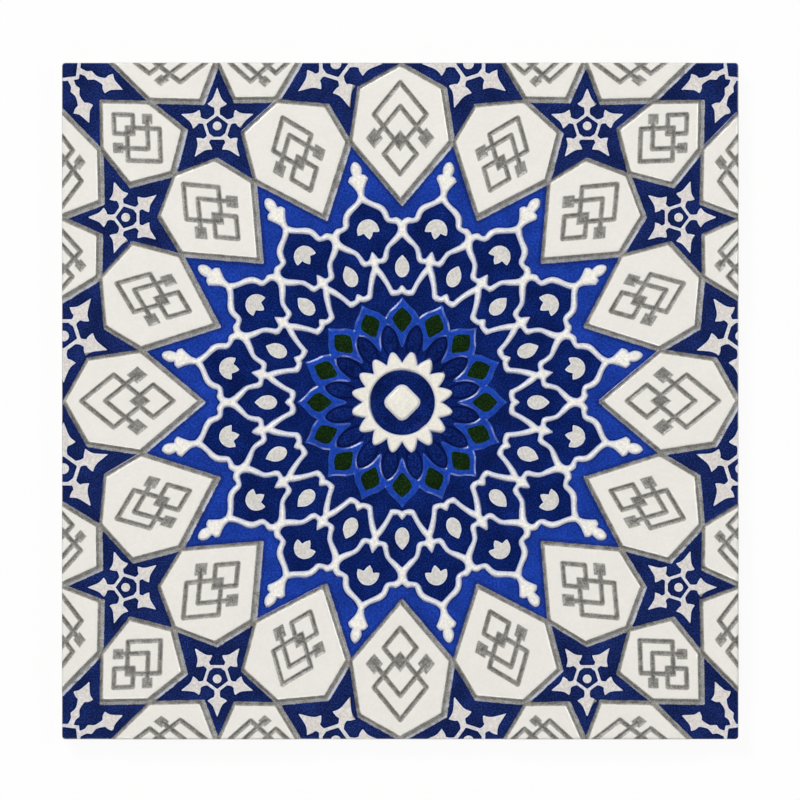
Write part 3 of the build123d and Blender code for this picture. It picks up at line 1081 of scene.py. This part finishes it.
class STARTILE_OT_clay(bpy.types.Operator):
    """Make the sides and the ribbed back"""

    bl_idname = "startile.clay"
    bl_label = "Clay sides and back"

    def execute(self, context):
        sizes, colours = context.scene.star_tile_sizes, context.scene.star_tile_colours
        material = clay_material(colours, sizes)
        declare(self.sides(sizes), material)
        declare(self.back(sizes), material)
        return {"FINISHED"}

    def sides(self, sizes):
        """The wall: a profile carried round the rim.

        It starts at the rim of the face, goes straight down, and turns in at its foot.
        """
        half_side = sizes.side / MM / 2
        lines = grid_lines(half_side, sizes.cells)
        low, high = np.full(lines.shape, -half_side), np.full(lines.shape, half_side)
        loop_x = np.concatenate([lines[:-1], high[:-1], lines[:0:-1], low[:-1]])
        loop_y = np.concatenate([low[:-1], lines[:-1], high[:-1], lines[:0:-1]])
        height = face_fields(loop_x, loop_y, sizes)[0]
        x, y = round_corners(loop_x, loop_y, half_side, sizes.corner_radius / MM)
        rings = [np.stack([x, y, height], axis=-1)]
        for inset, level in WALL:
            share = (half_side - inset) / half_side
            rings.append(np.stack([x * share, y * share, np.full(x.shape, level)], axis=-1))
        return sheet_object("clay_sides", np.stack(rings) * MM, closed=True, flip=True)

    def back(self, sizes):
        """The back: a grid whose height is the depth of the pockets, sloped at their sides.

        Near its corners it has the wall's own lines, so that the two sheets meet there.
        """
        half_side = sizes.side / MM / 2
        foot_side = half_side - FOOT_INSET
        shrink = foot_side / half_side
        radius = sizes.corner_radius / MM * shrink
        wall_lines = grid_lines(half_side, sizes.cells) * shrink
        border, rib = sizes.back_border / MM, sizes.rib_width / MM
        depth = sizes.pocket_depth / MM
        pitch = (2 * half_side - 2 * border + rib) / sizes.pocket_count
        slope = depth * np.tan(np.radians(POCKET_WALL_LEAN))
        starts = -half_side + border + pitch * np.arange(sizes.pocket_count)
        ends = starts + pitch - rib
        steps = np.array(POCKET_WALL_LINES) * slope
        lines = [wall_lines[np.abs(wall_lines) > foot_side - 1.5 * radius]]
        lines += [start + steps for start in starts] + [end - steps for end in ends]
        lines += [np.linspace(start + 2, end - 2, 4) for start, end in zip(starts, ends)]
        lines = np.sort(np.concatenate(lines))
        inward = np.full(lines.shape, -NOWHERE_NEAR)
        for start, end in zip(starts, ends):
            inward = np.maximum(inward, np.minimum(lines - start, end - lines))
        across, along = np.meshgrid(inward, inward)
        side = [share * slope for share in POCKET_WALL_SIDE]
        height = depth * soft_step(-np.minimum(across, along), *side)
        x, y = np.meshgrid(lines, lines)
        x, y = round_corners(x, y, foot_side, radius)
        points = np.stack([x, y, height], axis=-1) * MM
        return sheet_object("clay_back", points, flip=True)


class STARTILE_OT_stage(bpy.types.Operator):
    """Make the pale floor, the soft lights and the camera over the tile"""

    bl_idname = "startile.stage"
    bl_label = "Stage"

    def execute(self, context):
        scene = context.scene
        scene.view_settings.view_transform = "Standard"
        self.floor()
        self.world(scene)
        for name, (place, power) in LAMPS.items():
            self.lamp(name, place, power)
        self.camera(scene)
        return {"FINISHED"}

    def floor(self):
        """A wide flat sheet just under the tile, white to the camera but still in shadow."""
        lines = np.linspace(-FLOOR_HALF_WIDTH, FLOOR_HALF_WIDTH, 11)
        x, y = np.meshgrid(lines, lines)
        floor = sheet_object("floor", np.stack([x, y, np.full_like(x, -FLOOR_DROP)], axis=-1))
        material, wiring, output = new_material("pale floor")
        diffuse = wiring.node("ShaderNodeBsdfDiffuse", {"Color": (0.86, 0.86, 0.86)})
        glow = wiring.node("ShaderNodeEmission", {"Color": (1.0, 1.0, 1.0), "Strength": 1.0})
        rays = wiring.node("ShaderNodeLightPath").outputs
        seen = wiring.times(rays["Is Camera Ray"], FLOOR_GLOW)
        mixed = wiring.node("ShaderNodeMixShader", {0: seen})
        wiring.feed(mixed.inputs[1], diffuse.outputs[0])
        wiring.feed(mixed.inputs[2], glow.outputs[0])
        wiring.feed(output.inputs["Surface"], mixed.outputs[0])
        floor.data.materials.append(material)

    def world(self, scene):
        """Soft light from all round, dark overhead, white where the camera sees it."""
        world = bpy.data.worlds.new("studio")
        world.use_nodes = True
        world.node_tree.nodes.clear()
        wiring = Wiring(world.node_tree)
        toward = wiring.node("ShaderNodeTexCoord").outputs["Generated"]
        up = wiring.node("ShaderNodeSeparateXYZ", {0: toward}).outputs[2]
        glow = wiring.band(up, 0.8, 0.15, SKY_DARK, SKY_BRIGHT)
        seen = wiring.node("ShaderNodeLightPath").outputs["Is Camera Ray"]
        strength = wiring.larger(glow, seen)
        back = wiring.node("ShaderNodeBackground", {"Color": (1.0, 1.0, 1.0), "Strength": strength})
        leave = wiring.node("ShaderNodeOutputWorld")
        wiring.feed(leave.inputs["Surface"], back.outputs[0])
        scene.world = world

    def lamp(self, name, place, power):
        """A square soft light that faces the tile."""
        light = bpy.data.lights.new(name, "AREA")
        light.shape = "SQUARE"
        light.size = LAMP_SIZE
        light.energy = power
        made = bpy.data.objects.new(name, light)
        made.location = place
        away = made.location.normalized()
        made.rotation_euler = away.to_track_quat("Z", "Y").to_euler()
        bpy.context.scene.collection.objects.link(made)

    def camera(self, scene):
        """Straight above the face, far enough that its sides don't show."""
        data = bpy.data.cameras.new("camera")
        data.sensor_width = SENSOR_WIDTH
        data.lens = SENSOR_WIDTH * CAMERA_DISTANCE / (FRAME_PIXELS * PIXEL_SIZE)
        data.clip_start, data.clip_end = 0.01, 20.0
        made = bpy.data.objects.new("camera", data)
        made.location = (*CAMERA_OFFSET, tile_high.z + CAMERA_DISTANCE)
        made.rotation_euler = (0.0, 0.0, 0.0)
        scene.collection.objects.link(made)
        scene.camera = made


class STARTILE_PT_panel(bpy.types.Panel):
    """Sidebar panel with the tile's sizes, its colours and its steps"""

    bl_idname = "STARTILE_PT_panel"
    bl_label = "Star tile"
    bl_space_type = "VIEW_3D"
    bl_region_type = "UI"
    bl_category = "Star tile"

    def draw(self, context):
        layout = self.layout
        for step in (STARTILE_OT_face, STARTILE_OT_clay, STARTILE_OT_stage):
            layout.operator(step.bl_idname)
        for settings in (context.scene.star_tile_sizes, context.scene.star_tile_colours):
            box = layout.box()
            for name in settings.__annotations__:
                box.prop(settings, name)


CLASSES = (
    StarTileSizes, StarTileColours, STARTILE_OT_face, STARTILE_OT_clay, STARTILE_OT_stage,
    STARTILE_PT_panel,
)


def register():
    """Adds the classes and puts their settings on the scene."""
    for each in CLASSES:
        bpy.utils.register_class(each)
    bpy.types.Scene.star_tile_sizes = bpy.props.PointerProperty(type=StarTileSizes)
    bpy.types.Scene.star_tile_colours = bpy.props.PointerProperty(type=StarTileColours)


def unregister():
    """Takes them away again."""
    del bpy.types.Scene.star_tile_colours
    del bpy.types.Scene.star_tile_sizes
    for each in reversed(CLASSES):
        bpy.utils.unregister_class(each)


def main():
    """Makes the whole tile and its stage."""
    register()
    bpy.ops.startile.stage()
    bpy.ops.startile.face()
    bpy.ops.startile.clay()
    bpy.context.view_layer.update()


if __name__ == "__main__":
    main()
